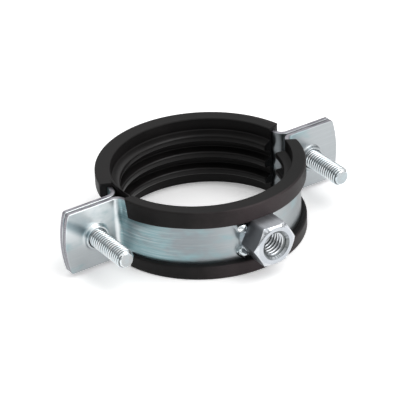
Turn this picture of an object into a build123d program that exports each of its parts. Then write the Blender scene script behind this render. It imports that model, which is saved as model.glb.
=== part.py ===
from build123d import *
import math
import os

# Two-half pipe clamp with rubber liners, two ear screws and a weld nut.
# Millimetres, +Z up. The pipe axis is Z and the origin lies on it at mid height.
# The halves meet on the plane y = 0. The front half carries the nut on its -Y side,
# and the ears stick out along X. Each strip is an arc whose middle lies past that plane
# by strip_offset, so it stands off the pipe a little more towards its ears.

# Pipe and rubber liner
pipe_diameter = 48.3
rib_height = 2.85
rib_count = 3
rib_pitch = 5.9
rib_base_width = 3.4
rib_tip_width = 2.0
rib_tip_round = 0.7
rib_root_round = 0.4
liner_wall = 1.0
flange_thickness = 1.25
flange_round = 0.4
lip_thickness = 2.5
lip_to_nut_clearance = 0.2
lip_round = 0.5
liner_setback = 3.7
liner_end_slant = 33.0
liner_end_round = 1.2
slipped_end_setback = 3.4
slipped_end_slant = 20.0
slipped_end_gap = 0.5
slip_clearance = 0.3

# Steel strip, its bends and its ears
strip_thickness = 1.5
strip_width = 20.5
strip_offset = 1.8
ear_gap = 0.4
ear_bend_radius = 2.2
ear_length = 20.6
ear_end_radius = 36.0
ear_corner_round = 0.9

# Ear screws, their collars and holes
screw_to_ear_end = 10.35
screw_diameter = 5.9
screw_length = 21.0
screw_tip_chamfer = 0.9
screw_clearance = 0.05
ear_hole_clearance = 0.35
head_across_flats = 10.0
head_height = 4.0
hex_face_step = 0.25
collar_diameter = 7.9
collar_height = 1.6
collar_base_round = 0.7
collar_rim_round = 0.3
collar_mouth_chamfer = 0.5

# Weld nut
nut_across_flats = 13.0
nut_hex_height = 7.6
nut_base_step = 0.4
nut_base_height = 2.0
nut_bore_diameter = 6.65
nut_back_relief = 0.5
nut_mouth_width = 1.125
hex_chamfer_angle = 28.0
bead_radius = 2.0
bead_lift = 0.7
bead_to_lip_clearance = 0.5

# Radii and levels that follow from the sizes
rib_radius = pipe_diameter / 2
groove_radius = rib_radius + rib_height
strip_face = groove_radius + liner_wall
strip_back = strip_face + strip_thickness
strip_inner_radius = strip_face + strip_offset
strip_outer_radius = strip_back + strip_offset
liner_outer_radius = strip_back + lip_thickness
half_strip = strip_width / 2
half_liner = half_strip + flange_thickness
nut_half_flats = nut_across_flats / 2
lip_edge = nut_half_flats + lip_to_nut_clearance
ear_reach = strip_back + ear_length
ear_inner_face = ear_gap / 2
ear_outer_face = ear_inner_face + strip_thickness
screw_x = ear_reach - screw_to_ear_end
nut_seat = strip_back + nut_base_height
nut_face = nut_seat + nut_hex_height
bead_rise = lip_edge - bead_radius - bead_to_lip_clearance
reach = ear_reach + liner_outer_radius
same_place = 0.01


def at_points(shape, points):
    """The vertices of a sketch that lie at the given points."""
    return [v for v in shape.vertices() for x, y in points if math.hypot(v.X - x, v.Y - y) < same_place]


def on_circle(radius, y):
    return math.sqrt(radius**2 - y**2)


def band_plan():
    """Plan of the front strip: an arc that bends out into two flat ears."""
    ring = Pos(0, strip_offset) * (Circle(strip_outer_radius) - Circle(strip_inner_radius))
    front = Pos(0, -ear_inner_face) * Rectangle(2 * reach, reach, align=(Align.CENTER, Align.MAX))
    plan = ring & front
    ear_start = (strip_inner_radius + strip_outer_radius) / 2
    for side in (-1, 1):
        middle = Pos(side * (ear_start + ear_reach) / 2, -(ear_inner_face + ear_outer_face) / 2)
        plan += middle * Rectangle(ear_reach - ear_start, strip_thickness)
    inner_x = on_circle(strip_inner_radius, strip_offset + ear_inner_face)
    outer_x = on_circle(strip_outer_radius, strip_offset + ear_outer_face)
    inner = at_points(plan, [(s * inner_x, -ear_inner_face) for s in (-1, 1)])
    plan = fillet(inner, ear_bend_radius + strip_thickness)
    outer = at_points(plan, [(s * outer_x, -ear_outer_face) for s in (-1, 1)])
    return fillet(outer, ear_bend_radius)


def ear_outline():
    """Front view of a flattened half: a strip with gently rounded ends."""
    corner_x = ear_reach - ear_end_radius + on_circle(ear_end_radius, half_strip)
    top = Line((-corner_x, half_strip), (corner_x, half_strip))
    right = ThreePointArc(top @ 1, (ear_reach, 0), (corner_x, -half_strip))
    bottom = Line(right @ 1, (-corner_x, -half_strip))
    left = ThreePointArc(bottom @ 1, (-ear_reach, 0), top @ 0)
    outline = Plane.XZ * make_face([top, right, bottom, left])
    return fillet(outline.vertices(), ear_corner_round)


def plain_band():
    """The front strip before its holes are made."""
    strip = Pos(0, 0, -half_strip) * extrude(band_plan(), strip_width)
    return strip & extrude(ear_outline(), reach, both=True)


def along_screw(side, y):
    """A plane on a screw's axis at y, facing -Y."""
    return Plane(origin=(side * screw_x, y, 0), x_dir=(1, 0, 0), z_dir=(0, -1, 0))


def collar(side):
    """The plunged collar that holds a screw's thread, on the front face of an ear."""
    boss = along_screw(side, -ear_outer_face) * Cylinder(
        collar_diameter / 2, collar_height, align=(Align.CENTER, Align.CENTER, Align.MIN))
    return fillet(boss.edges().sort_by(Axis.Y)[0], collar_rim_round)


def front_band():
    """Front strip with a threaded collar in each ear."""
    band = plain_band()
    bore = screw_diameter / 2 + screw_clearance
    depth = strip_thickness + collar_height
    for side in (-1, 1):
        band += collar(side)
        root = [e for e in band.edges().filter_by(GeomType.CIRCLE)
                if abs(e.radius - collar_diameter / 2) < same_place and side * e.center().X > 0]
        band = fillet(root, collar_base_round)
        hole = along_screw(side, -ear_inner_face)
        band -= hole * Cylinder(bore, depth, align=(Align.CENTER, Align.CENTER, Align.MIN))
        band -= hole * Cone(bore + collar_mouth_chamfer, bore, collar_mouth_chamfer,
                            align=(Align.CENTER, Align.CENTER, Align.MIN))
    return band


def back_band():
    """Back strip with a plain hole in each ear."""
    band = mirror(plain_band(), Plane.XZ)
    for side in (-1, 1):
        hole = along_screw(side, ear_outer_face)
        band -= hole * Cylinder(screw_diameter / 2 + ear_hole_clearance, strip_thickness,
                                align=(Align.CENTER, Align.CENTER, Align.MIN))
    return band


def rib(z):
    """Section of one rounded rib, from inside the wall to its crest."""
    root = groove_radius + liner_wall / 2
    half_base = rib_base_width / 2
    half_tip = rib_tip_width / 2
    side = [(root, half_base), (groove_radius, half_base), (rib_radius, half_tip)]
    lower = [(r, z - h) for r, h in side]
    upper = [(r, z + h) for r, h in reversed(side)]
    return make_face(Polyline(*lower, *upper, close=True))


def liner_section():
    """Rubber section in the radius and height plane. The room for the strip is cut out later."""
    levels = [(i - (rib_count - 1) / 2) * rib_pitch for i in range(rib_count)]
    wall = (groove_radius + liner_outer_radius) / 2
    section = Pos(wall, 0) * Rectangle(liner_outer_radius - groove_radius, 2 * half_liner)
    section -= Pos(liner_outer_radius, 0) * Rectangle(lip_thickness, 2 * lip_edge)
    for z in levels:
        section += rib(z)
    crests = [(rib_radius, z + s * rib_tip_width / 2) for z in levels for s in (-1, 1)]
    section = fillet(at_points(section, crests), rib_tip_round)
    roots = [(groove_radius, z + s * rib_base_width / 2) for z in levels for s in (-1, 1)]
    section = fillet(at_points(section, roots), rib_root_round)
    flanges = [(groove_radius, s * half_liner) for s in (-1, 1)]
    section = fillet(at_points(section, flanges), flange_round)
    lips = [(liner_outer_radius, s * z) for z in (half_liner, lip_edge) for s in (-1, 1)]
    return fillet(at_points(section, lips), lip_round)


def end_line(x, setback, slant):
    """Distance of a liner's slanted end from the parting plane, at a distance x from the axis."""
    return setback + (x - groove_radius) * math.tan(math.radians(slant))


def beyond(setback, slant):
    """Plan of all that lies past one slanted end, on the +X side."""
    low, high = end_line(0, setback, slant), end_line(reach, setback, slant)
    return make_face(Polyline((0, low), (reach, high), (reach, reach), (0, reach), close=True))


def liner_plan(right_end, left_end):
    """Plan of the back liner between two slanted ends with rounded outer corners."""
    plan = (beyond(*right_end) + mirror(beyond(*left_end), Plane.YZ)) & Circle(liner_outer_radius)
    corners = [v for v in plan.vertices() if abs(math.hypot(v.X, v.Y) - liner_outer_radius) < same_place]
    return fillet(corners, liner_end_round)


def slipped_end():
    """Plan of the inner wall that has slipped past the parting plane on the left."""
    face = beyond(slipped_end_gap - liner_setback, -liner_end_slant)
    return mirror(face, Plane.YZ) & Circle(strip_face - slip_clearance)


def strip_room():
    """The space of the back strip between the lips, and of all that lies outside it between them."""
    channel = Circle(strip_outer_radius) - Circle(strip_inner_radius)
    window = Circle(reach) - Circle((strip_inner_radius + strip_outer_radius) / 2)
    room = extrude(channel, half_strip, both=True) + extrude(window, lip_edge, both=True)
    return Pos(0, -strip_offset, 0) * room


def liner(plan):
    """The revolved rubber section, kept where the plan covers it and open for the strip."""
    ring = revolve(Plane.XZ * liner_section(), Axis.Z)
    return (ring & extrude(plan, half_liner, both=True)) - strip_room()


def front_liner():
    end = (liner_setback, liner_end_slant)
    return mirror(liner(liner_plan(end, end)), Plane.XZ)


def back_liner():
    """The back liner sits a little off centre: short on the right, long on the left."""
    right_end = (slipped_end_setback, slipped_end_slant)
    left_end = (liner_setback, liner_end_slant)
    return liner(liner_plan(right_end, left_end) + slipped_end())


def hexagon(across_flats):
    """A hexagon facing -Y with one flat on top."""
    return Plane.XZ * RegularPolygon(across_flats / 2, 6, major_radius=False)


def chamfered_hex(across_flats, height):
    """A hexagonal prism from y = 0 to -height whose far corners are turned down."""
    prism = extrude(hexagon(across_flats), height)
    slope = math.tan(math.radians(hex_chamfer_angle))
    face = across_flats / 2 - hex_face_step
    turned = Plane.XZ * Cone(
        face + height / slope, face, height, align=(Align.CENTER, Align.CENTER, Align.MIN))
    return prism & turned


def ear_screw(side):
    """Hexagon screw whose head bears on the back ear and whose tip points to -Y."""
    shank = along_screw(side, ear_outer_face) * Cylinder(
        screw_diameter / 2, screw_length, align=(Align.CENTER, Align.CENTER, Align.MIN))
    shank = chamfer(shank.edges().sort_by(Axis.Y)[0], screw_tip_chamfer)
    head = mirror(chamfered_hex(head_across_flats, head_height), Plane.XZ)
    return shank + Pos(side * screw_x, ear_outer_face, 0) * head


def on_strip(shape):
    """What of a solid lies outside the front strip's round outer face."""
    return shape - Pos(0, strip_offset, 0) * Cylinder(strip_outer_radius, 2 * strip_width)


def nut_blank():
    """Hexagon nut on a round base that reaches back through the strip's face."""
    body = Pos(0, -nut_seat, 0) * chamfered_hex(nut_across_flats, nut_hex_height)
    base = Plane.XZ * Cylinder(
        nut_half_flats - nut_base_step, nut_seat, align=(Align.CENTER, Align.CENTER, Align.MIN))
    return body + base


def weld_nut():
    """Weld nut with its base fitted to the strip and a countersunk bore."""
    bore = nut_bore_diameter / 2
    bored = on_strip(nut_blank()) - Plane.XZ * Cylinder(
        bore, nut_face, align=(Align.CENTER, Align.CENTER, Align.MIN))
    bored -= Plane.XZ * Cylinder(
        bore + nut_back_relief, strip_back + nut_back_relief, align=(Align.CENTER, Align.CENTER, Align.MIN))
    sink = Cone(bore, bore + nut_mouth_width, nut_mouth_width, align=(Align.CENTER, Align.CENTER, Align.MAX))
    return bored - Plane(origin=(0, -nut_face, 0), x_dir=(1, 0, 0), z_dir=(0, -1, 0)) * sink


def weld_bead(side, level):
    """One bead of weld metal between the strip and a slanted flat of the nut."""
    x, z = side * nut_half_flats, level * bead_rise
    y = strip_offset - on_circle(strip_outer_radius, x) - bead_lift
    outward = Plane(origin=(x, y, z), x_dir=(x, 0, z), z_dir=(0, -1, 0))
    return on_strip(outward * Sphere(bead_radius)) - nut_blank()


def nut_welds():
    """The four beads, two on each side of the nut."""
    beads = [weld_bead(side, level) for side in (-1, 1) for level in (-1, 1)]
    return Compound([solid for bead in beads for solid in bead.solids()])


nodes = {
    "front_band": front_band(),
    "back_band": back_band(),
    "front_liner": front_liner(),
    "back_liner": back_liner(),
    "weld_nut": weld_nut(),
    "nut_welds": nut_welds(),
    "left_screw": ear_screw(-1),
    "right_screw": ear_screw(1),
}

os.makedirs("parts", exist_ok=True)
for name, shape in nodes.items():
    export_step(shape, f"parts/{name}.step")
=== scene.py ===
import math

import bmesh
import bpy
import numpy as np
from mathutils import Matrix, Vector, noise
from mathutils.geometry import delaunay_2d_cdt


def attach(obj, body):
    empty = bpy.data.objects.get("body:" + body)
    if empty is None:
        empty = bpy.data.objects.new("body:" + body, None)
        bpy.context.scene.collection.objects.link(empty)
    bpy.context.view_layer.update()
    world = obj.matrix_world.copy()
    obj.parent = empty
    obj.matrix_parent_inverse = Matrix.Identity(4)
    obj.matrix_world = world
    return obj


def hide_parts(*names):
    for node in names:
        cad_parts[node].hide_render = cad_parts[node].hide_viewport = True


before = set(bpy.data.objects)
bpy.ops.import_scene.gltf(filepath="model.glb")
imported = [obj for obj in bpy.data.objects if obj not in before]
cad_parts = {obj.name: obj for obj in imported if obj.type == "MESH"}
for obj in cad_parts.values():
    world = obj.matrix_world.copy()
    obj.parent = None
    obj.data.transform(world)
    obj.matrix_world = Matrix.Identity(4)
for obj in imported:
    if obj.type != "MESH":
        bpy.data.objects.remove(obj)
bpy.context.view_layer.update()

# A two-half pipe clamp with rubber liners, seen as in the photograph.
# Sizes are millimetres until a mesh is made. The pipe axis is Z, and the halves meet on y = 0.
# An angle round the pipe starts at the right ear, whichever half it is on.
MM = 0.001
merge_distance = 0.002
crease = math.radians(35.0)

# Rubber liner, as in the part's source
rib_radius = 24.15
groove_radius = 27.0
rib_pitch = 5.9
rib_half_base = 1.7
rib_half_tip = 1.0
rib_tip_round = 0.7
rib_root_round = 0.4
strip_face = 28.0
strip_back = 29.5
liner_outer_radius = 32.0
half_liner = 11.5
lip_edge = 6.7
lip_round = 0.5
lip_inner_round = 0.1
flange_round = 0.4
liner_end_round = 1.2
tongue_radius = 27.7

# The liner's cut ends: how far each stands from the parting plane, and its slant in degrees
liner_end = (3.7, 33.0)
slipped_end = (3.4, 20.0)
tongue_end = (-3.2, -33.0)
rubber_edge = 0.12

# How the rubber follows the strip, sags and runs on
lip_rim = 31.4
lower_sag = 0.6
sag_grows = (math.radians(135), math.radians(165))
lap_grows = (math.radians(150), math.radians(165))

# Steel strip and ears
strip_offset = 1.8
strip_inner_radius = strip_face + strip_offset
strip_outer_radius = strip_back + strip_offset
strip_thickness = 1.5
half_strip = 10.25
ear_inner_face = 0.2
bend_radius = 3.7
ear_reach = 50.1
ear_end_radius = 36.0
ear_corner_round = 0.9
sheared_edge = 0.22
edge_support = 0.08

# Collars and the back ears' holes
screw_x = 39.75
collar_radius = 3.95
collar_height = 1.6
collar_base_round = 0.7
collar_rim_round = 0.3
collar_rim_dip = 0.03
collar_mouth = 0.3
collar_mouth_depth = 0.35
collar_bore = 3.0
collar_back_chamfer = 0.5
back_hole = 3.3
back_hole_soft = 0.15

# Screws
screw_crest = 2.95
screw_root = 2.4
screw_pitch = 1.0
left_length = 21.0
right_length = 20.1
screw_tip_flat = 2.05
tip_bevel = 0.06
tip_edge = 0.1
head_flat = 5.0
head_height = 4.0
head_face = 4.75
head_underside = 1.7
head_corner_round = 0.25
head_soft = 0.12
head_dish = 1.3
head_dish_depth = 0.25
head_dish_middle = 0.3

# Weld nut
nut_flat = 6.5
nut_face = 39.1
nut_seat = 31.5
nut_start = 29.0
nut_sunk = 0.15
nut_turned_face = 5.75
nut_base = 6.1
nut_crest = 3.325
nut_root = 4.02
nut_mouth = 4.75
nut_mouth_round = (0.06, 0.02, 0.03)
nut_pitch = 1.25
nut_corner_round = 0.3
nut_soft = 0.14
hex_chamfer = math.tan(math.radians(30.0))
face_edge = 0.02

# Weld beads: their places at the nut's foot, and the scale and height of their lumps and ripples
bead_radius = 2.0
bead_side = 5.4
bead_rise = 4.2
bead_lift = 0.7
bead_places = [(-1.1, -1), (-1.1, 1), (1, -1), (0.66, 1.1)]
bead_body = 0.93
bead_most = 0.07
bead_seed = 3.7
lump_scale, lump_height = 0.55, 0.16
ripple_scale, ripple_height = 1.6, 0.05

# The third number of a turned piece's blank is the depth in a thread's hollow, or one of these; the finishes
# darken by it, as grime and painted shade
on_flats = -1.0
on_cone = 0.35
on_tip = 0.27


# Outlines and skins

def rounded(corners, step):
    """A closed outline through corners (x, y, radius), each rounded off. step is in degrees."""
    outline = []
    for i, (x, y, radius) in enumerate(corners):
        corner = Vector((x, y))
        if not radius:
            outline.append(corner)
            continue
        before = (Vector(corners[i - 1][:2]) - corner).normalized()
        after = (Vector(corners[(i + 1) % len(corners)][:2]) - corner).normalized()
        half = before.angle(after) / 2
        middle = corner + (before + after).normalized() * radius / math.sin(half)
        start = corner + before * radius / math.tan(half) - middle
        end = corner + after * radius / math.tan(half) - middle
        turn = math.pi - 2 * half
        parts = max(2, math.ceil(math.degrees(turn) / step))
        for k in range(parts + 1):
            share = k / parts
            outline.append(middle + (start * math.sin((1 - share) * turn)
                                     + end * math.sin(share * turn)) / math.sin(turn))
    return outline


def divided(outline, longest):
    """The closed outline with its long runs split."""
    points = []
    for a, b in zip(outline, outline[1:] + outline[:1]):
        parts = max(1, math.ceil((b - a).length / longest))
        points += [a.lerp(b, k / parts) for k in range(parts)]
    return points


def shrunk(outline, by):
    """The closed outline moved inwards, which is to the left of its direction."""
    points = []
    for i, here in enumerate(outline):
        back = (here - outline[i - 1]).normalized()
        on = (outline[(i + 1) % len(outline)] - here).normalized()
        on_left = Vector((-on.y, on.x))
        inward = (Vector((-back.y, back.x)) + on_left).normalized()
        points.append(here + inward * by / max(0.5, inward.dot(on_left)))
    return points


def quarter(steps=4):
    """Angles from 0 to a right angle."""
    return [math.pi / 2 * k / steps for k in range(steps + 1)]


def ramp(value, low, high):
    """0 where the value is low or less, 1 where it is high or more, and a straight rise between."""
    return max(0.0, min(1.0, (value - low) / (high - low)))


def added(name, data):
    """A new object in the scene."""
    thing = bpy.data.objects.new(name, data)
    bpy.context.scene.collection.objects.link(thing)
    return thing


class Skin:
    """Corners and faces of one piece, in millimetres."""

    def __init__(self):
        self.corners = []
        self.blank = []
        self.faces = []

    def row(self, points, blank=None):
        """Adds a row of corners. blank is where each one lay on the flat sheet."""
        first = len(self.corners)
        self.corners += [tuple(p) for p in points]
        self.blank += [tuple(p) for p in (blank or points)]
        return list(range(first, len(self.corners)))

    def strip(self, one, other, closed):
        """Fills the space between two rows with four-sided faces."""
        for i in range(len(one) - (not closed)):
            j = (i + 1) % len(one)
            self.faces.append((one[i], one[j], other[j], other[i]))

    def loft(self, rows, closed=True):
        """Fills the space between each row and the next."""
        for one, other in zip(rows, rows[1:]):
            self.strip(one, other, closed)

    def cap(self, ring, middle, blank=None):
        """Closes a ring with a fan about a middle point."""
        tip = self.row([middle], blank and [blank])[0]
        for i, corner in enumerate(ring):
            self.faces.append((corner, ring[(i + 1) % len(ring)], tip))

    def piece(self, name, body, slot, finish, nodes):
        """The mesh of the skin, riding on a body in place of the CAD nodes."""
        mesh = bpy.data.meshes.new(name)
        mesh.from_pydata([Vector(c) * MM for c in self.corners], [], self.faces)
        layer = mesh.attributes.new("blank", "FLOAT_VECTOR", "POINT")
        layer.data.foreach_set("vector", np.array(self.blank, np.float32).ravel())
        work = bmesh.new()
        work.from_mesh(mesh)
        bmesh.ops.remove_doubles(work, verts=work.verts, dist=merge_distance * MM)
        bmesh.ops.recalc_face_normals(work, faces=work.faces)
        work.to_mesh(mesh)
        work.free()
        mesh.shade_smooth()
        mesh.set_sharp_from_angle(angle=crease)
        mesh.materials.append(finish)
        thing = added(name, mesh)
        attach(thing, body)
        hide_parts(*nodes)


# Steel halves

def rim():
    """Pairs of inset and depth round a sheared edge, from the outer face to the inner face."""
    outer = [(sheared_edge * (1 - math.sin(a)), strip_thickness - sheared_edge * (1 - math.cos(a)))
             for a in quarter()]
    inner = [(sheared_edge * (1 - math.cos(a)), sheared_edge * (1 - math.sin(a))) for a in quarter()]
    return outer + inner


def strip_levels():
    """Levels across the strip, close together at its edges so that the flat stays flat up to them."""
    steps = 10
    edge = half_strip - sheared_edge
    inner = edge - edge_support
    return [-edge] + [inner * (k / steps - 1) for k in range(2 * steps + 1)] + [edge]


def strip_section():
    """Closed section of the strip as pairs of level and depth."""
    levels = strip_levels()
    outer = [(z, strip_thickness) for z in levels]
    top = [(half_strip - inset, depth) for inset, depth in rim()[1:]]
    inner = [(z, 0.0) for z in levels[-2::-1]]
    bottom = [(inset - half_strip, depth) for inset, depth in rim()[-2:0:-1]]
    return outer + top + inner + bottom


def strip_path():
    """Where the bends start, the strip's length from bend to bend, and its stations between them.

    A station is its run from the right ear's bend, a point of the inner face and the outward way there.
    """
    bend_steps, ring_steps = 14, 130
    bend_y = -ear_inner_face - bend_radius
    middle = Vector((0, strip_offset))
    bend_x = math.sqrt((strip_inner_radius + bend_radius) ** 2 - (bend_y - strip_offset) ** 2)
    start = math.atan2(bend_y - strip_offset, bend_x)
    right = []
    for k in range(bend_steps + 1):
        turn = math.pi / 2 + (math.pi / 2 + start) * k / bend_steps
        way = Vector((math.cos(turn), math.sin(turn)))
        run = bend_radius * (turn - math.pi / 2)
        right.append((run, Vector((bend_x, bend_y)) + way * bend_radius, -way))
    ring = []
    for k in range(1, ring_steps):
        turn = start - (math.pi + 2 * start) * k / ring_steps
        way = Vector((math.cos(turn), math.sin(turn)))
        ring.append((run + strip_inner_radius * (start - turn), middle + way * strip_inner_radius, way))
    whole = 2 * run + strip_inner_radius * (math.pi + 2 * start)
    left = [(whole - run, Vector((-at.x, at.y)), Vector((-way.x, way.y))) for run, at, way in right[::-1]]
    return bend_x, whole, right + ring + left


def ear_edge(bend_x):
    """Outline of the right ear from its bend round to its bend, as x, z and the outward direction."""
    side_steps, corner_steps, end_steps = 16, 5, 12
    corner_z = half_strip - ear_corner_round
    end_x = ear_reach - ear_end_radius
    corner_x = end_x + math.sqrt((ear_end_radius - ear_corner_round) ** 2 - corner_z ** 2)
    lean = math.atan2(corner_z, corner_x - end_x)
    edge = [(bend_x + (corner_x - bend_x) * k / side_steps, half_strip, math.pi / 2)
            for k in range(side_steps)]
    for k in range(corner_steps + 1):
        turn = math.pi / 2 + (lean - math.pi / 2) * k / corner_steps
        edge.append((corner_x + ear_corner_round * math.cos(turn),
                     corner_z + ear_corner_round * math.sin(turn), turn))
    for k in range(1, end_steps):
        turn = lean * (1 - k / end_steps)
        edge.append((end_x + ear_end_radius * math.cos(turn), ear_end_radius * math.sin(turn), turn))
    lower = [(x, -z, -turn) for x, z, turn in edge[::-1]]
    return edge + [(ear_reach, 0.0, 0.0)] + lower


def collar_wall():
    """Radius and depth from the root of a plunged collar over its rim and through its bore."""
    face = strip_thickness
    wall = [(collar_radius + collar_base_round * (1 - math.sin(a)),
             face + collar_base_round * (1 - math.cos(a))) for a in quarter(5)]
    crown = collar_height - collar_rim_round
    wall += [(collar_radius - collar_rim_round * (1 - math.cos(a)),
              face + crown + collar_rim_round * math.sin(a)) for a in quarter()]
    wall += [(collar_bore + collar_mouth, face + collar_height - collar_rim_dip),
             (collar_bore, face + collar_height - collar_mouth_depth)]
    return wall + [(collar_bore, collar_back_chamfer), (collar_bore + collar_back_chamfer, 0.0)]


def plain_hole_wall():
    """Radius and depth through a plain hole with soft edges."""
    soft = back_hole_soft
    face = strip_thickness
    return [(back_hole + soft, face), (back_hole, face - soft), (back_hole, soft), (back_hole + soft, 0.0)]


def ear(skin, side, turn, bend_x, whole, wall):
    """One flat ear, its rim and its hole. turn is -1 for the front half and 1 for the back."""
    edge = ear_edge(bend_x)

    def place(x, depth, z):
        return (side * x, turn * (ear_inner_face + depth), z)

    def laid_flat(x, depth, z):
        run = bend_x - x
        return (run if side > 0 else whole - run, z, depth)

    def row(spots):
        return skin.row([place(*s) for s in spots], [laid_flat(*s) for s in spots])

    skin.loft([row([(x - inset * math.cos(a), depth, z - inset * math.sin(a)) for x, z, a in edge])
               for inset, depth in rim()], closed=False)
    border = [(x - sheared_edge * math.cos(a), z - sheared_edge * math.sin(a)) for x, z, a in edge]
    border += [(bend_x, z) for z in strip_levels()[1:-1]]
    ways = [math.atan2(z, x - screw_x) for x, z in border]

    def face(radius, depth, shares):
        return [row([(x + (screw_x + radius * math.cos(a) - x) * share, depth,
                      z + (radius * math.sin(a) - z) * share) for (x, z), a in zip(border, ways)])
                for share in shares]

    # From the border to the hole, with rows close together at both so that the face stays flat
    shares = [0, 0.012, 0.2, 0.4, 0.6, 0.8, 0.985, 1]
    rows = face(*wall[0], shares)
    rows += [row([(screw_x + radius * math.cos(a), depth, radius * math.sin(a)) for a in ways])
             for radius, depth in wall[1:-1]]
    rows += face(*wall[-1], shares[::-1])
    skin.loft(rows)


def half_band(turn, wall):
    """A bent strip with two ears, on the -Y side for turn -1."""
    skin = Skin()
    bend_x, whole, path = strip_path()
    section = strip_section()
    rows = []
    for run, base, way in path:
        spots = [(base + way * depth, z, depth) for z, depth in section]
        rows.append(skin.row([(at.x, -turn * at.y, z) for at, z, _ in spots],
                             [(run, z, depth) for _, z, depth in spots]))
    skin.loft(rows)
    for side in (1, -1):
        ear(skin, side, turn, bend_x, whole, wall)
    return skin


# Rubber liners

def liner_section():
    """Closed section of the rubber channel as radius and level, anticlockwise."""
    inner = [(groove_radius, half_liner, flange_round)]
    for z in (rib_pitch, 0.0, -rib_pitch):
        inner += [(groove_radius, z + rib_half_base, rib_root_round),
                  (rib_radius, z + rib_half_tip, rib_tip_round),
                  (rib_radius, z - rib_half_tip, rib_tip_round),
                  (groove_radius, z - rib_half_base, rib_root_round)]
    inner.append((groove_radius, -half_liner, flange_round))
    lower = [(tongue_radius, -half_liner, 0), (strip_face, -half_liner, 0),
             (liner_outer_radius, -half_liner, lip_round), (liner_outer_radius, -lip_edge, lip_round),
             (strip_back, -lip_edge, lip_inner_round), (strip_back, -half_strip, 0),
             (strip_face, -half_strip, 0)]
    upper = [(r, -z, soft) for r, z, soft in lower[::-1]]
    return divided(rounded(inner + lower + upper, step=18), longest=0.6)


def end_angle(radius, setback, slant):
    """Angle from the parting plane to a slanted end with a rounded outer corner, at a radius."""
    slope = math.radians(slant)
    offset = (setback - groove_radius * math.tan(slope)) * math.cos(slope)
    round_at = liner_outer_radius - liner_end_round
    middle = slope + math.asin((offset + liner_end_round) / round_at)
    touch = Vector((round_at * math.cos(middle) + liner_end_round * math.sin(slope),
                    round_at * math.sin(middle) - liner_end_round * math.cos(slope)))
    if radius <= touch.length:
        return slope + math.asin(offset / radius)
    reach = (radius ** 2 + round_at ** 2 - liner_end_round ** 2) / (2 * radius * round_at)
    return middle - math.acos(min(1.0, reach))


def stretched(radius, angle, spread=0.0):
    """Radius of a spot of the section at an angle round the pipe: it follows the strip's own arc.

    The lips' rims follow it only by the share spread.
    """
    def on_arc(near):
        across = strip_offset * math.cos(angle)
        return math.sqrt((near + strip_offset) ** 2 - across ** 2) - strip_offset * max(0.0, math.sin(angle))

    shift = on_arc(strip_face) - strip_face
    rim_at = lip_rim + spread * shift
    if radius >= lip_rim:
        return radius + spread * shift
    if radius < strip_face:
        return radius + shift
    if radius <= strip_back:
        return on_arc(radius)
    share = (lip_rim - radius) / (lip_rim - strip_back)
    return rim_at - share * (rim_at - on_arc(strip_back))


def end_on_arc(radius, end):
    """Angle of a cut end at a spot of the section. The cut meets the stretched radius, found in rounds."""
    angle = 0.1
    for _ in range(5):
        angle = end_angle(stretched(radius, angle), *end)
    return angle


def lip_level(z, angle, sag):
    """Level of a spot on a lip, which sag moves down, and twice as far near the left end."""
    if abs(z) > half_strip or not sag:
        return z
    reach = half_strip - lip_edge
    drop = sag * (1 + ramp(angle, *sag_grows)) if z > 0 else -sag * lower_sag
    return math.copysign(half_strip - (half_strip - abs(z)) * (reach + drop) / reach, z)


def end_lap(radius, angle, z):
    """How much of its lap the upper lip has run on toward the left end, most at its rim and its top."""
    outward = ramp(radius, strip_face, strip_back)
    upward = max(0.0, (z - lip_edge) / (half_liner - lip_edge))
    return ramp(angle, *lap_grows) * outward * upward


def liner(turn, right, left, tongue=None, sag=0.0, spread=0.0, lap=0.0):
    """A rubber half between two slanted ends. A tongue is where the inner wall runs past the left one."""
    skin = Skin()
    section = liner_section()
    ends = shrunk(section, rubber_edge)
    near = 0.01

    def start(radius):
        return end_on_arc(radius, right)

    def stop(radius):
        runs_on = tongue and radius < tongue_radius + near
        return math.pi - end_on_arc(radius, tongue if runs_on else left)

    def place(radius, angle, z):
        r = stretched(radius, angle, spread)
        level = lip_level(z, angle, sag) if radius > strip_back - near else z
        way = angle + lap * end_lap(radius, angle, z) / r
        return (r * math.cos(way), turn * r * math.sin(way), level)

    # Stations lean with each slanted end, and are even between first and last
    first_steps, middle_steps, last_steps = 8, 140, 10
    first, last = math.radians(20), math.radians(160)
    soft = rubber_edge / strip_back
    angles = [lambda r, k=k: start(r) + soft + (first - start(r) - soft) * k / first_steps
              for k in range(first_steps)]
    angles += [lambda r, k=k: first + (last - first) * k / middle_steps for k in range(middle_steps + 1)]
    angles += [lambda r, k=k: last + (stop(r) - soft - last) * k / last_steps
               for k in range(1, last_steps + 1)]
    rows = [skin.row([place(p.x, start(p.x), p.y) for p in ends])]
    rows += [skin.row([place(p.x, angle(p.x), p.y) for p in section]) for angle in angles]
    rows.append(skin.row([place(p.x, stop(p.x), p.y) for p in ends]))
    skin.loft(rows)
    cap_end(skin, ends, lambda r, z: place(r, start(r), z))
    cap_end(skin, ends, lambda r, z: place(r, stop(r), z))
    return skin


def cap_end(skin, outline, place):
    """Fills a cut end of the rubber, with columns of corners at the radii where its plan bends."""
    count, longest = 40, 1.0
    points = list(outline)
    chains = []
    top = max(p.y for p in outline)
    for radius in (tongue_radius, strip_face):
        column = [Vector((radius, z)) for z in np.linspace(-top, top, count)
                  if radius < strip_face or abs(z) > half_strip + rubber_edge]
        at = len(points)
        points += column
        chains += [(at + i, at + i + 1) for i in range(len(column) - 1)
                   if column[i + 1].y - column[i].y < longest]
    loop = [list(range(len(outline)))]
    found = delaunay_2d_cdt(points, chains, loop, 1, 1e-5)
    row = skin.row([place(p.x, p.y) for p in found[0]])
    skin.faces += [tuple(row[i] for i in face) for face in found[2]]


# Threads, screws and the nut

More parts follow.
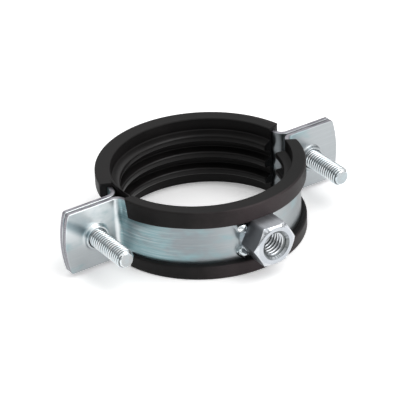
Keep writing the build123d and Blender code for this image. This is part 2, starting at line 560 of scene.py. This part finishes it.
def hexagon(flat, soft):
    """Radius and angle of the corners of a hexagon with one flat on top, by rising angle from 0."""
    corner = flat / math.cos(math.pi / 6)
    turns = [math.radians(60 * k) for k in range(6)]
    corners = [(corner * math.cos(a), corner * math.sin(a), soft) for a in turns]
    outline = divided(rounded(corners, step=20), longest=0.45)
    return sorted(((p.length, math.atan2(p.y, p.x) % (2 * math.pi)) for p in outline), key=lambda p: p[1])


def circle_row(skin, centre, ways, radius, along, hollow=0.0):
    """A ring of corners about an axis along -Y. radius and along are numbers, or one for each way."""
    x, y = centre
    radii = radius if isinstance(radius, list) else [radius] * len(ways)
    steps = along if isinstance(along, list) else [along] * len(ways)
    return skin.row([(x - r * math.cos(a), y - s, r * math.sin(a)) for a, r, s in zip(ways, radii, steps)],
                    [(s, r, hollow) for r, s in zip(radii, steps)])


def thread(skin, centre, ways, length, pitch, shape, trim, crest, cut=0.0):
    """A helical wall along -Y from centre, made of one column of corners for each way round.

    shape is one pitch of it, trim gives a spot's last radius, and cut is the blank's mark where it trims.
    """
    x, y = centre
    count = len(shape)
    turns = math.ceil(length / pitch) + 1
    columns = []
    for a in ways + ways[:1]:
        share = (a % (2 * math.pi)) / (2 * math.pi)
        if len(columns) == len(ways):
            share += 1
        points = []
        blank = []
        for k in range(-count * 2, turns * count):
            lift, radius = shape[k % count]
            at = min(max(pitch * (k // count + lift + share), 0.0), length)
            r = trim(radius, at)
            points.append((x - r * math.cos(a), y - at, r * math.sin(a)))
            blank.append((at, r, abs(r - crest) if r == radius else cut))
        columns.append(skin.row(points, blank))
    skin.loft(columns, closed=False)


def rolled(crest, root):
    """One pitch of a thread with soft corners: where along the pitch, and the radius there."""
    soft = (crest - root) * 0.12
    return [(0.0, crest - soft), (0.03, crest), (0.11, crest), (0.14, crest - soft),
            (0.44, root + soft), (0.50, root), (0.64, root), (0.70, root + soft)]


def hex_head(skin, centre, outline, ways, soft, face, low, high):
    """Rings of a hexagon from its flat side at low to its turned face at high, along -Y."""
    way = 1 if high > low else -1
    radii = [r for r, _ in outline]
    drop = [max(0.0, (r - face) * hex_chamfer) for r in radii]
    return [circle_row(skin, centre, ways, [r - soft for r in radii], low, on_flats),
            circle_row(skin, centre, ways, radii, low + way * soft, on_flats),
            circle_row(skin, centre, ways, radii, [high - way * (d + soft) for d in drop], on_flats),
            circle_row(skin, centre, ways, [r - soft / 2 for r in radii], [high - way * d for d in drop]),
            circle_row(skin, centre, ways, face, high - way * face_edge),
            circle_row(skin, centre, ways, face - soft, high)]


def ear_screw(side, length):
    """A threaded screw with a hexagon head that bears on the back ear."""
    skin = Skin()
    outline = hexagon(head_flat, head_corner_round)
    ways = [a for _, a in outline]
    x, y = centre = (side * screw_x, head_underside)

    def trim(radius, at):
        return min(radius, screw_tip_flat + (length - at)) if at > 0 else screw_crest

    thread(skin, centre, ways, length - tip_bevel, screw_pitch, rolled(screw_crest, screw_root), trim,
           screw_crest)
    tip = [circle_row(skin, centre, ways, screw_tip_flat + tip_bevel, length - tip_bevel, on_tip),
           circle_row(skin, centre, ways, screw_tip_flat - tip_edge, length, on_tip)]
    skin.loft(tip)
    skin.cap(tip[-1], (x, y - length, 0), (length, 0, on_tip))
    head = [circle_row(skin, centre, ways, screw_crest, 0.0)]
    head += hex_head(skin, centre, outline, ways, head_soft, head_face, 0.0, -head_height)
    head.append(circle_row(skin, centre, ways, head_face - head_dish, head_dish_depth - head_height))
    skin.loft(head)
    skin.cap(head[-1], (x, y + head_height - head_dish_middle, 0))
    return skin


def weld_nut():
    """A hexagon nut on a round base shaped to the strip, with a threaded bore and a coned mouth."""
    skin = Skin()
    outline = hexagon(nut_flat, nut_corner_round)
    ways = [a for _, a in outline]
    centre = (0.0, -nut_start)
    face = nut_face - nut_start
    seat = nut_seat - nut_start
    sink = face - (nut_mouth - nut_root)

    def trim(radius, at):
        return max(radius, nut_mouth - (face - at)) if at > 0 else nut_crest

    shape = [(lift, nut_crest + nut_root - r) for lift, r in rolled(nut_root, nut_crest)]
    thread(skin, centre, ways, sink, nut_pitch, shape, trim, nut_crest, on_cone)

    sunk = nut_start + nut_sunk + strip_offset
    seated = [math.sqrt(strip_outer_radius ** 2 - (nut_base * math.cos(a)) ** 2) - sunk for a in ways]
    wider, closer, deeper = nut_mouth_round
    rows = [circle_row(skin, centre, ways, nut_crest, 0.0),
            circle_row(skin, centre, ways, nut_base, seated),
            circle_row(skin, centre, ways, nut_base, seat)]
    rows += hex_head(skin, centre, outline, ways, nut_soft, nut_turned_face, seat, face)
    rows += [circle_row(skin, centre, ways, nut_mouth + wider, face),
             circle_row(skin, centre, ways, nut_mouth - closer, face - deeper, on_cone),
             circle_row(skin, centre, ways, nut_root, sink, on_cone)]
    skin.loft(rows)
    return skin


def weld_bead(skin, across, level, seed):
    """One lump of weld metal at the foot of the nut."""
    x, z = across * bead_side, level * bead_rise
    middle = Vector((x, strip_offset - math.sqrt(strip_outer_radius ** 2 - x ** 2) - bead_lift, z))
    ball = bmesh.new()
    bmesh.ops.create_icosphere(ball, subdivisions=4, radius=bead_radius)
    corners = []
    for v in ball.verts:
        lump = noise.noise(v.co * lump_scale + Vector((seed, 0, 0))) * lump_height
        ripple = noise.noise(v.co * ripple_scale + Vector((0, seed, 0))) * ripple_height
        corners.append(middle + v.co * (bead_body + min(bead_most, lump + ripple)))
    row = skin.row(corners, [(0, 0, 0)] * len(corners))
    skin.faces += [tuple(row[v.index] for v in f.verts) for f in ball.faces]
    ball.free()


# Finishes

def rgb(r, g, b):
    return (r, g, b, 1.0)


white = rgb(1.0, 1.0, 1.0)


class Wire:
    """A shader socket that takes part in arithmetic, where each operation adds a Math node."""

    def __init__(self, finish, socket):
        self.finish = finish
        self.socket = socket

    def sums(self, operation, one, other):
        return self.finish.node("ShaderNodeMath", {"operation": operation}, {0: one, 1: other})

    def __add__(self, other):
        return self.sums("ADD", self, other)

    def __radd__(self, other):
        return self.sums("ADD", other, self)

    def __sub__(self, other):
        return self.sums("SUBTRACT", self, other)

    def __rsub__(self, other):
        return self.sums("SUBTRACT", other, self)

    def __mul__(self, other):
        return self.sums("MULTIPLY", self, other)

    def __rmul__(self, other):
        return self.sums("MULTIPLY", other, self)

    def __pow__(self, other):
        return self.sums("POWER", self, other)

    def __rpow__(self, other):
        return self.sums("POWER", other, self)


class Finish:
    """The look of a material or a world, worked out by nodes."""

    def __init__(self, owner):
        owner.use_nodes = True
        self.owner = owner
        self.tree = owner.node_tree
        self.tree.nodes.clear()

    def node(self, kind, settings=None, sockets=None, output=0):
        """Adds a node: its settings first, then the values or links of its sockets."""
        made = self.tree.nodes.new(kind)
        for name, value in (settings or {}).items():
            setattr(made, name, value)
        for name, value in (sockets or {}).items():
            if isinstance(value, Wire):
                self.tree.links.new(value.socket, made.inputs[name])
            else:
                made.inputs[name].default_value = value
        return Wire(self, made.outputs[output]) if made.outputs else None

    def sheet_place(self):
        """Where a spot lay on the flat sheet, in millimetres."""
        return self.node("ShaderNodeAttribute", {"attribute_name": "blank"}, output="Vector")

    def millimetres(self):
        """Where a spot is on the piece, in millimetres."""
        place = self.node("ShaderNodeTexCoord", output="Object")
        return self.node("ShaderNodeVectorMath", {"operation": "SCALE"}, {0: place, "Scale": 1 / MM})

    def spot(self, place, scale, shift=(0, 0, 0)):
        """A place with each of its numbers scaled, and then moved."""
        return self.node("ShaderNodeMapping", {"vector_type": "POINT"},
                         {"Vector": place, "Scale": scale, "Location": shift})

    def part(self, vector, axis):
        """One number of a vector."""
        return self.node("ShaderNodeSeparateXYZ", None, {"Vector": vector}, output=axis)

    def cloud(self, place, scale, detail, rough):
        """Noise from 0 to 1, around 0.5."""
        return self.node("ShaderNodeTexNoise", None,
                         {"Vector": place, "Scale": scale, "Detail": detail, "Roughness": rough})

    def between(self, value, low, high):
        """0 where the value is low or less, 1 where it is high or more."""
        return self.node("ShaderNodeMapRange", {"interpolation_type": "SMOOTHSTEP"},
                         {"Value": value, "From Min": low, "From Max": high})

    def blend(self, share, one, other):
        """A colour between two, by a share."""
        return self.node("ShaderNodeMix", {"data_type": "RGBA"}, {0: share, 6: one, 7: other}, output=2)

    def bump(self, height, distance, strength):
        return self.node("ShaderNodeBump", None,
                         {"Height": height, "Distance": distance * MM, "Strength": strength})

    def ray(self, kind):
        """1 for a ray of one kind, and 0 for the others."""
        return self.node("ShaderNodeLightPath", output=f"Is {kind} Ray")

    def either(self, share, one, other):
        """A shader between two, by a share."""
        return self.node("ShaderNodeMixShader", None, {0: share, 1: one, 2: other})

    def skin(self, sockets):
        return self.shown(self.node("ShaderNodeBsdfPrincipled", None, sockets))

    def shown(self, shader):
        """Makes a shader the look of the owner, which it returns."""
        kind = "World" if isinstance(self.owner, bpy.types.World) else "Material"
        self.node(f"ShaderNodeOutput{kind}", None, {"Surface": shader})
        return self.owner


def strip_zinc(whole):
    """Rolled sheet with a bright zinc coat: marks along the strip, teal clouds and draw marks at the bends,
    and painted reflections, shade and a highlight.

    Runs are in millimetres from the right ear's bend, and the left ear's bend is at whole.
    """
    f = Finish(bpy.data.materials.new("strip_zinc"))
    flat = f.sheet_place()
    run, across, depth = (f.part(flat, axis) for axis in "XYZ")
    marks = f.cloud(f.spot(flat, (0.10, 3.2, 1.0)), 1.0, 3.0, 0.6)
    hairs = f.cloud(f.spot(flat, (0.22, 13.0, 1.0)), 1.0, 2.0, 0.6)
    waves = f.cloud(f.spot(flat, (0.30, 0.12, 1.0)), 1.0, 1.0, 0.4)
    clouds = f.cloud(f.spot(flat, (0.10, 0.17, 1.0), (7.3, 2.1, 0)), 1.0, 3.0, 0.55)
    grain = f.cloud(flat, 3.0, 3.0, 0.6)

    # The ears, and the lower part of the left one, which gets painted shade
    right_ear = 1 - f.between(run, -1.0, 2.0)
    left_ear = f.between(run, whole - 2.0, whole + 1.0)
    left_ear_low_painted_shade = left_ear * (1 - f.between(across - (run - whole) * 0.25, -7.0, 3.0))

    # The line of light in the left bend, which is a painted highlight, the marked stretch beside it, and
    # painted shade on the stretches on both sides of the brighter front
    bend_light = f.between(run, whole - 3.8, whole - 1.6)
    by_bend = f.between(run, whole - 26.0, whole - 12.0) - bend_light
    left = f.between(run, whole - 66.0, whole - 26.0) - bend_light
    middle = f.between(run, 24.0, 46.0) * (f.between(run, 40.0, 48.0) * 0.5 + 0.5)
    right = 1 - middle - right_ear

    # A painted reflection of the screw on the left ear: a darker teal-grey streak which rises outwards from
    # the collar. That is collar_run past the bend.
    collar_run = 6.75
    off_line = across - (run - whole - collar_run) * 0.8
    painted_screw_reflection = f.between(off_line, -3.4, -0.6) * (1 - f.between(off_line, 0.2, 2.4))
    painted_screw_reflection = painted_screw_reflection * f.between(run, whole + 5.0, whole + 9.0)

    # Bare steel on the sheared edges
    top = strip_thickness
    sheared = f.between(depth, 0.04, 0.2) * (1 - f.between(depth, top - 0.2, top - 0.04))
    edge = f.blend(f.between(hairs, 0.35, 0.65), rgb(0.20, 0.195, 0.22), rgb(0.40, 0.395, 0.43))

    # Painted reflection and shade: the zinc is lightest in front by the nut and darker toward both bends, on
    # the right ear and low on the left ear
    clear = f.blend(left, rgb(0.84, 0.885, 0.90), rgb(0.265, 0.295, 0.312))
    clear = f.blend(right, clear, rgb(0.20, 0.22, 0.232))
    clear = f.blend(right_ear * 0.9 + left_ear_low_painted_shade * 0.85, clear, rgb(0.38, 0.405, 0.42))
    teal = f.between(clouds + (left + right) * 0.06 + by_bend * 0.24, 0.54, 0.86)
    base = f.blend(teal * 0.8, clear, rgb(0.26, 0.43, 0.46))
    base = f.blend(painted_screw_reflection * 0.8, base, rgb(0.30, 0.40, 0.44))
    streaks = f.between(marks, 0.42, 0.75) * (0.08 + by_bend * 0.3)
    streaked = f.blend(streaks, base, rgb(0.80, 0.83, 0.845))
    return f.skin({"Base Color": f.blend(sheared, streaked, edge), "Metallic": 1.0,
                   "Roughness": marks * 0.06 + grain * 0.08 + sheared * 0.1 + 0.24,
                   "Normal": f.bump(hairs * 0.12 + marks * 0.12 + grain * 0.5 + waves * 4.0, 0.006, 0.7)})


def bright_zinc():
    """Bright zinc on turned and rolled pieces, darkened by grime and painted shade in the hollows of threads.
    """
    f = Finish(bpy.data.materials.new("bright_zinc"))
    hollow = f.part(f.sheet_place(), "Z")
    place = f.millimetres()
    clouds = f.cloud(place, 0.35, 3.0, 0.55)
    grain = f.cloud(place, 5.0, 3.0, 0.6)
    # Darker in the hollows of threads, partly grime and partly painted shade
    grime_and_painted_shade = f.between(hollow + (clouds - 0.5) * 0.2, 0.14, 0.46)
    bare = f.blend(f.between(clouds, 0.35, 0.75), rgb(0.60, 0.67, 0.70), rgb(0.88, 0.90, 0.91))
    colour = f.blend(grime_and_painted_shade * 0.92, bare, rgb(0.045, 0.055, 0.06))
    return f.skin({"Base Color": colour, "Metallic": 1.0, "Roughness": clouds * 0.16 + grime_and_painted_shade * 0.2 + 0.10,
                   "Normal": f.bump(grain, 0.008, 0.6)})


def nut_zinc():
    """Zinc on the nut: turned rings on its face, drawn lines along its flats, painted shade on its left
    flats, and grime and painted shade in its bore.
    """
    f = Finish(bpy.data.materials.new("nut_zinc"))
    hollow = f.part(f.sheet_place(), "Z")
    place = f.millimetres()
    x, y, z = (f.part(place, axis) for axis in "XYZ")
    out = (x * x + z * z) ** 0.5
    on_face = f.between(0 - y, nut_face - 0.35, nut_face - 0.10)
    flats = f.between(0 - hollow, 0.3, 0.8)
    # Painted shade: the flats on the left are much darker
    left_flats_painted_shade = 1 - f.between(x, -4.4, -2.9)
    rings = f.cloud(f.node("ShaderNodeCombineXYZ", None, {"X": out * 3.4}), 1.0, 2.0, 0.6)
    drawn = f.cloud(f.spot(place, (2.4, 0.15, 2.4)), 1.0, 3.0, 0.6)
    clouds = f.cloud(place, 0.3, 3.0, 0.55)
    # Darker in the thread's hollows and the coned mouth, partly grime and partly painted shade
    grime_and_painted_shade = f.between(hollow + (clouds - 0.5) * 0.3, 0.10, 0.48)
    bare = f.blend(f.between(clouds, 0.35, 0.75), rgb(0.62, 0.65, 0.69), rgb(0.80, 0.815, 0.83))
    bare = f.blend(on_face * 0.8, bare, rgb(0.52, 0.55, 0.59))
    drawn_out = f.blend(f.between(drawn, 0.35, 0.65), rgb(0.34, 0.355, 0.38), rgb(0.42, 0.435, 0.46))
    dulled = f.blend(flats, bare, f.blend(left_flats_painted_shade, drawn_out, rgb(0.125, 0.133, 0.145)))
    colour = f.blend(grime_and_painted_shade * 0.8, dulled, rgb(0.07, 0.085, 0.085))
    relief = rings * on_face + drawn * (1 - on_face)
    return f.skin({"Base Color": colour, "Metallic": 1.0,
                   "Roughness": clouds * 0.14 + grime_and_painted_shade * 0.2 + flats * 0.22 + 0.13,
                   "Normal": f.bump(relief, 0.02, 0.6)})


def liner_rubber():
    """Black rubber with a dull moulded skin, dusty on its lips, and blacker on the right away from its lips
    as painted shade.
    """
    f = Finish(bpy.data.materials.new("liner_rubber"))
    place = f.millimetres()
    clouds = f.cloud(place, 0.12, 3.0, 0.55)
    grain = f.cloud(place, 5.0, 4.0, 0.65)
    x, y = (f.part(place, axis) for axis in "XY")
    out = (x * x + y * y) ** 0.5
    lips = f.between(out, lip_rim - 0.2, lip_rim + 0.4)
    inside = 1 - f.between(out, groove_radius - 1.6, groove_radius - 0.4)
    worn = lips * f.between(x + clouds * 12.0, -18.0, 6.0) * (1 - f.between(x, 2.0, 22.0) * 0.8)
    # Painted shade: away from the lips the rubber turns blacker toward the right, and loses its coat there
    dull = (1 - lips) * f.between(x, 0.0, 18.0)
    black = f.blend(f.between(clouds, 0.3, 0.7), rgb(0.0062, 0.0056, 0.0056), rgb(0.0100, 0.0090, 0.0090))
    black = f.blend(dull * 0.7, black, rgb(0.0015, 0.0014, 0.0014))
    dusty = f.blend(f.between(grain, 0.3, 0.7), rgb(0.040, 0.031, 0.033), rgb(0.060, 0.048, 0.050))
    return f.skin({"Base Color": f.blend(worn, black, dusty),
                   "Roughness": clouds * 0.14 + 0.40 - inside * 0.08,
                   "Specular IOR Level": 0.15, "Coat Roughness": 0.24,
                   "Coat Weight": inside * (1 - dull) * 0.26,
                   "Normal": f.bump(grain, 0.02, 0.6)})


# The clamp

strip_finish = strip_zinc(strip_path()[1])
bright_finish = bright_zinc()
nut_finish = nut_zinc()
rubber_finish = liner_rubber()

half_band(-1, collar_wall()).piece("front_strip", "front_half", "zinc_steel", strip_finish, ["front_band"])
half_band(1, plain_hole_wall()).piece("back_strip", "back_half", "zinc_steel", strip_finish, ["back_band"])
liner(-1, liner_end, liner_end, sag=0.7, lap=1.2).piece(
    "front_rubber", "front_half", "liner_rubber", rubber_finish, ["front_liner"])
liner(1, slipped_end, liner_end, tongue_end, spread=0.8).piece(
    "back_rubber", "back_half", "liner_rubber", rubber_finish, ["back_liner"])
weld_nut().piece("rod_nut", "front_half", "bright_zinc", nut_finish, ["weld_nut"])
beads = Skin()
for number, (across, level) in enumerate(bead_places):
    weld_bead(beads, across, level, bead_seed * number)
beads.piece("weld_beads", "front_half", "bright_zinc", bright_finish, ["nut_welds"])
for name, side, length in (("left_screw", -1, left_length), ("right_screw", 1, right_length)):
    ear_screw(side, length).piece(name.replace("screw", "bolt"), name, "bright_zinc", bright_finish, [name])


# Floor, light and camera

def stage_plane(name, size, level, finish):
    """A square of the floor, with its size and level in metres."""
    mesh = bpy.data.meshes.new(name)
    half = size / 2
    mesh.from_pydata([(-half, -half, level), (half, -half, level), (half, half, level), (-half, half, level)],
                     [], [(0, 1, 2, 3)])
    mesh.materials.append(finish)
    added(name, mesh)


def pale_floor():
    """White table that keeps the object's shadow and a little light of its own for the eye and for gloss."""
    f = Finish(bpy.data.materials.new("pale_floor"))
    dull = f.node("ShaderNodeBsdfDiffuse", None, {"Color": rgb(0.9, 0.9, 0.9)})
    paper = f.node("ShaderNodeBsdfDiffuse", None, {"Color": rgb(1.2, 1.2, 1.2)})
    glow = f.node("ShaderNodeEmission", None, {"Color": white, "Strength": 0.18})
    gloss_glow = f.node("ShaderNodeEmission", None, {"Color": white, "Strength": 0.34})

    def lit(surface, light):
        return f.node("ShaderNodeAddShader", None, {0: surface, 1: light})

    seen = f.either(f.ray("Glossy"), dull, lit(dull, gloss_glow))
    seen = f.either(f.ray("Transmission"), seen, lit(dull, glow))
    return f.shown(f.either(f.ray("Camera"), seen, lit(paper, glow)))


def lamp(name, size, power, place):
    """A soft lamp of a size in metres that shines on the clamp's middle."""
    data = bpy.data.lights.new(name, "AREA")
    data.shape = "RECTANGLE"
    data.size, data.size_y = size
    data.energy = power
    thing = added(name, data)
    thing.location = place
    thing.rotation_mode = "QUATERNION"
    thing.rotation_quaternion = (-Vector(place)).to_track_quat("-Z", "Y")


def sky():
    """Soft light from above. The eye sees it white, and gloss sees it white above a dimmer skyline."""
    f = Finish(bpy.data.worlds.new("studio"))

    def light(strength):
        return f.node("ShaderNodeBackground", None, {"Color": white, "Strength": strength})

    height = f.part(f.node("ShaderNodeTexCoord", output="Generated"), "Z")
    shine = f.either(f.between(height, 0.05, 0.40), light(0.20), light(1.0))
    seen = f.either(f.ray("Glossy"), light(0.75), shine)
    seen = f.either(f.ray("Transmission"), seen, light(1.0))
    bpy.context.scene.world = f.shown(f.either(f.ray("Camera"), seen, light(1.0)))


def camera():
    """The photograph's viewpoint, fitted to the clamp's own points."""
    azimuth, rise, roll = math.radians(-32.71), math.radians(29.94), math.radians(-2.45)
    distance, aside, above = 727.4, -0.896, 7.985
    back = Vector((math.sin(azimuth) * math.cos(rise), -math.cos(azimuth) * math.cos(rise), math.sin(rise)))
    right = Vector((math.cos(azimuth), math.sin(azimuth), 0))
    up = back.cross(right)
    place = back * distance + right * aside + up * above + Vector((0, 0, -half_liner))
    across = right * math.cos(roll) + up * math.sin(roll)
    over = up * math.cos(roll) - right * math.sin(roll)
    data = bpy.data.cameras.new("camera")
    data.sensor_width = 36.0
    data.lens = 211.2
    data.clip_start = 0.05
    data.clip_end = 20.0
    thing = added("camera", data)
    thing.matrix_world = Matrix((
        (across.x, over.x, back.x, place.x * MM),
        (across.y, over.y, back.y, place.y * MM),
        (across.z, over.z, back.z, place.z * MM),
        (0, 0, 0, 1)))
    bpy.context.scene.camera = thing


camera()
stage_plane("table", 6.0, -half_liner * MM, pale_floor())
lamp("softbox", (0.5, 0.5), 1.7, (0.22, -0.32, 0.70))
lamp("side_softbox", (0.5, 0.34), 0.7, (0.37, -0.60, 0.26))
sky()
bpy.context.scene.view_settings.view_transform = "Standard"
